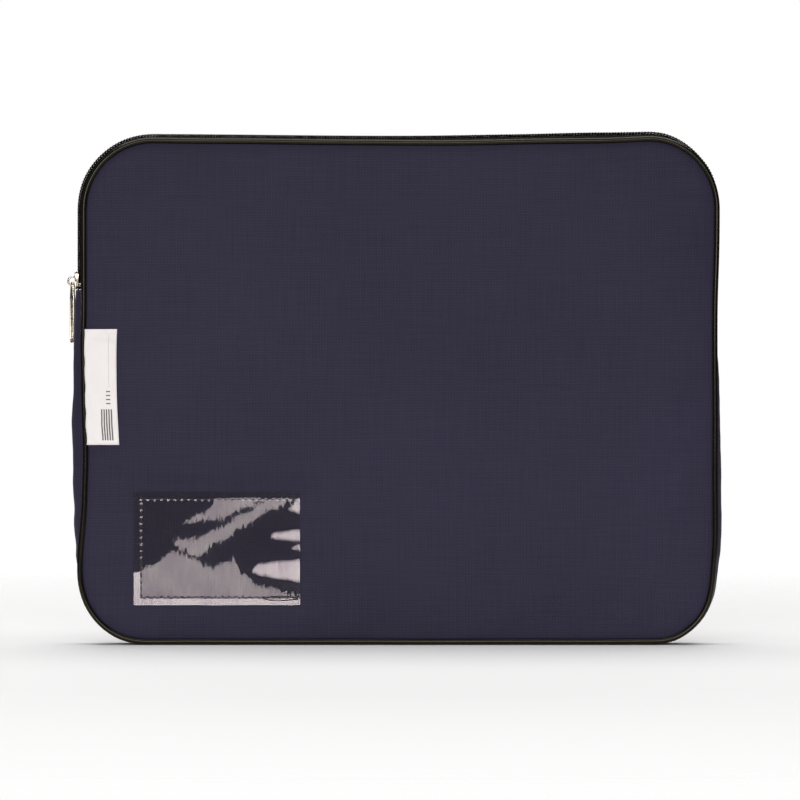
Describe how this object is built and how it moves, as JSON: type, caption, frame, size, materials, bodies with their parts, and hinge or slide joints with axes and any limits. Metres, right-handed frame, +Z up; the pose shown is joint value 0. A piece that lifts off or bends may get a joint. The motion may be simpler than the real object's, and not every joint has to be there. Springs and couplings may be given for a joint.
{
  "type": "zipped cash bag",
  "caption": "Flat rectangular woven-nylon cash and document bag with rounded corners, a gusset zip, piped edges, a name label and a clear card window.",
  "frame": {"origin": "middle of the bottom edge, on the surface that the bag stands on", "axes": "+X to the right seen from the front, front towards -Y, back towards +Y, +Z up"},
  "size_m": [0.3781, 0.0274, 0.2945],
  "materials": {
    "navy_nylon": "coarse plain-woven nylon, matt with a faint sheen",
    "black_vinyl": "soft vinyl over a cord, satin",
    "black_tape": "finely woven polyester, matt",
    "black_coil": "nylon monofilament coil, satin",
    "nickel": "bright nickel plate on die-cast zinc",
    "white_ribbon": "woven satin ribbon",
    "clear_vinyl": "clear soft vinyl sheet, glossy and slightly wavy",
    "black_thread": "twisted polyester sewing thread"
  },
  "bodies": {
    "root": {"front_panel": "navy_nylon", "back_panel": "navy_nylon", "front_piping": "black_vinyl", "back_piping": "black_vinyl", "gusset": "navy_nylon", "front_zip_tape_left_end": "black_tape", "front_zip_tape_right_end": "black_tape", "back_zip_tape": "black_tape", "front_coil_left_end": "black_coil", "front_coil_right_end": "black_coil", "back_coil": "black_coil", "front_binding": "black_tape", "back_binding": "black_tape", "card_window": "clear_vinyl", "window_stitching": "black_thread"},
    "flap": {"front_panel_flap": "navy_nylon", "front_piping_flap": "black_vinyl", "front_zip_tape_flap": "black_tape", "front_coil_flap": "black_coil", "front_binding_flap": "black_tape"},
    "slider": {"slider_body": "nickel", "slider_bridge": "nickel"},
    "pull": {"pull_tab": "nickel"},
    "label": {"name_label": "white_ribbon"}
  },
  "joints": [
    {"name": "mouth_fold", "type": "hinge", "parent": "root", "child": "flap", "pos_m": [0, -0.0137, 0.219], "axis": [1, 0, 0], "range_deg": [0, 80]},
    {"name": "slider_run", "type": "slide", "parent": "root", "child": "slider", "axis": [0, 0, 1], "range_m": [0, 0.034]},
    {"name": "pull_swing", "type": "hinge", "parent": "slider", "child": "pull", "pos_m": [-0.1889, 0, 0.2092], "axis": [0, 1, 0], "range_deg": [0, 175]},
    {"name": "label_fold", "type": "hinge", "parent": "root", "child": "label", "pos_m": [-0.1795, -0.01315, 0.148], "axis": [0, 0, -1], "range_deg": [0, 120]}
  ]
}
